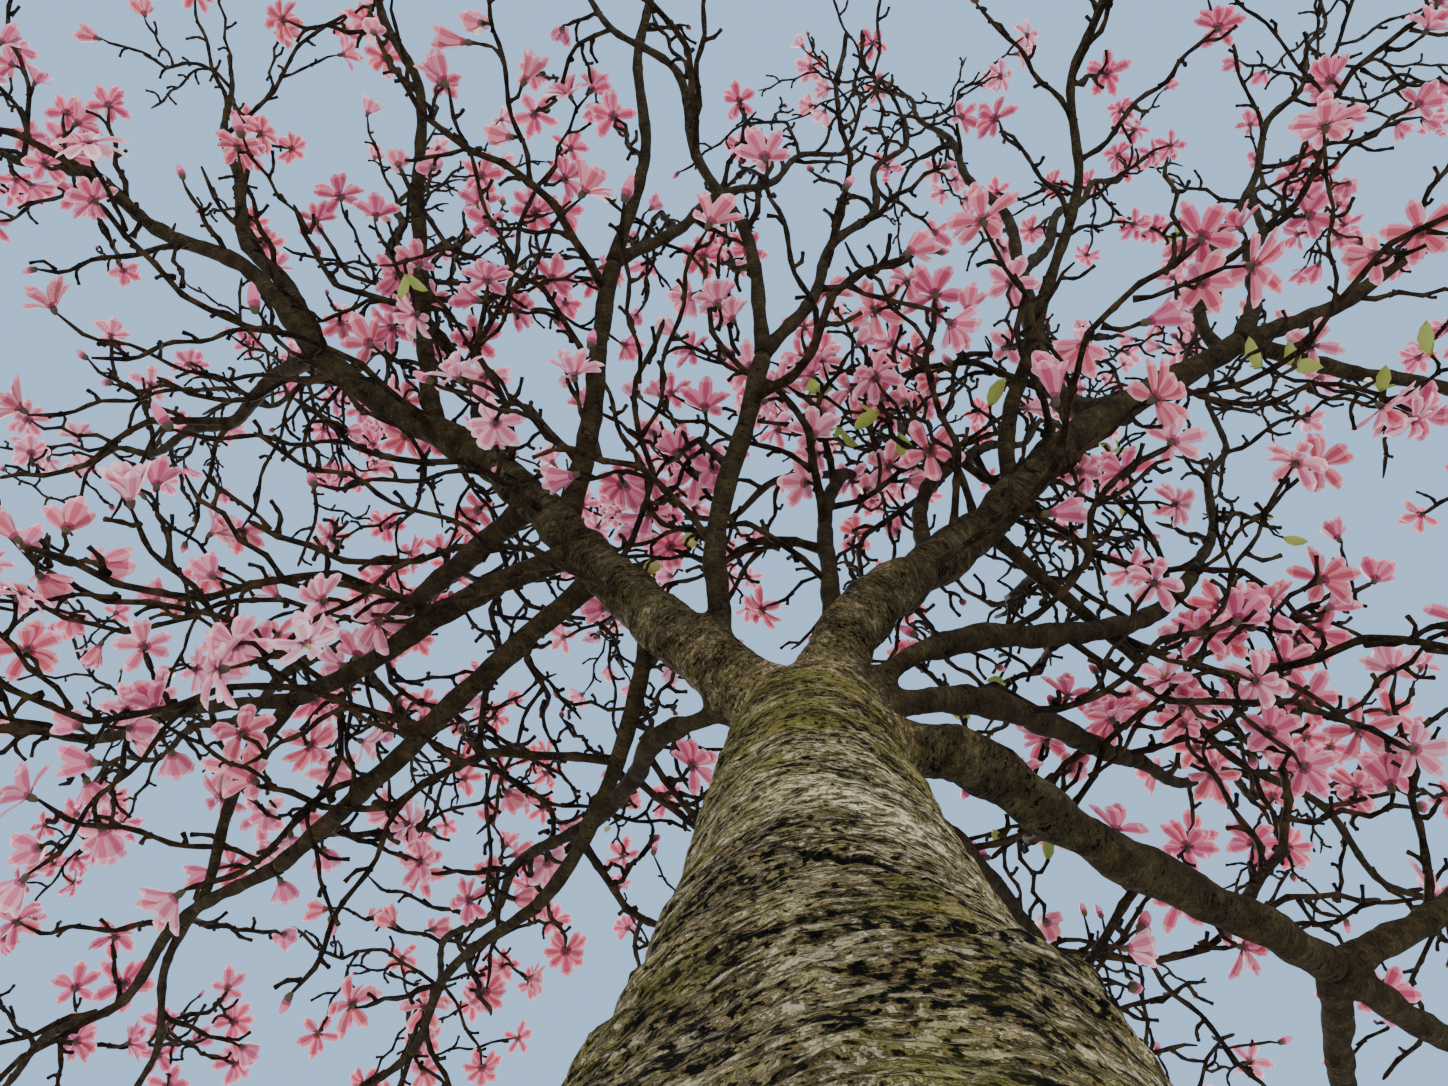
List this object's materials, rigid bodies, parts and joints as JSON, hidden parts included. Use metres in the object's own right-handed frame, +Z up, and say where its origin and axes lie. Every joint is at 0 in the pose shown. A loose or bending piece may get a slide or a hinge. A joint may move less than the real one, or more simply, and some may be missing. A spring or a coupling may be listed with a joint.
{
  "type": "magnolia tree in blossom",
  "caption": "Magnolia tree in pink spring blossom, rooted in the ground: flared trunk, low fork, spreading tapering boughs and open blossoming twigs.",
  "frame": {"origin": "middle of the flat cut under the trunk, at ground level", "axes": "+Z up the trunk; +X towards the right-hand bough; +Y away from the place that the picture was taken from, beyond the trunk"},
  "size_m": [6.4437, 5.7527, 5.5701],
  "materials": {
    "trunk_bark": "rough grey-brown bark with pale flakes and moss",
    "bough_bark": "smoother grey-brown bark",
    "blossom": "soft matt petals, deep rose at the base and pale at the tips"
  },
  "bodies": {
    "root": {"trunk": "trunk_bark", "left_bough": "bough_bark", "right_bough": "bough_bark", "low_right_bough": "bough_bark", "back_bough": "bough_bark", "mid_right_bough": "bough_bark", "side_right_bough": "bough_bark", "over_bough": "bough_bark", "centre_bough": "bough_bark", "back_left_bough": "bough_bark", "back_right_bough": "bough_bark", "upright_front": "bough_bark", "left_front": "bough_bark", "left_high": "bough_bark", "left_side": "bough_bark", "left_near": "bough_bark", "left_down": "bough_bark", "left_under": "bough_bark", "high_right": "bough_bark", "near_right_up": "bough_bark", "near_right_down": "bough_bark", "centre_right": "bough_bark", "right_rise": "bough_bark", "blossom_left_out": "blossom", "blossom_left_top": "blossom", "blossom_left_mid": "blossom", "blossom_right_out": "blossom", "blossom_right_top": "blossom", "blossom_right_low": "blossom", "blossom_low_right_side": "blossom", "blossom_low_right_out": "blossom", "blossom_low_right_back": "blossom", "blossom_mid_right": "blossom", "blossom_side_right": "blossom", "blossom_over_left": "blossom", "blossom_over_right": "blossom", "blossom_centre_top": "blossom", "blossom_centre_left": "blossom", "blossom_back_top": "blossom", "blossom_back_out": "blossom", "blossom_back_left": "blossom", "blossom_back_right": "blossom", "blossom_front_left": "blossom", "blossom_front_right": "blossom", "blossom_left_front": "blossom", "blossom_left_high": "blossom", "blossom_left_high_side": "blossom", "blossom_left_side": "blossom", "blossom_left_side_up": "blossom", "blossom_left_near": "blossom", "blossom_left_near_down": "blossom", "blossom_left_down": "blossom", "blossom_left_under": "blossom", "blossom_high_right": "blossom", "blossom_high_right_side": "blossom", "blossom_near_right_up": "blossom", "blossom_near_right_down": "blossom", "blossom_centre_right": "blossom", "blossom_right_rise": "blossom"}
  },
  "joints": []
}
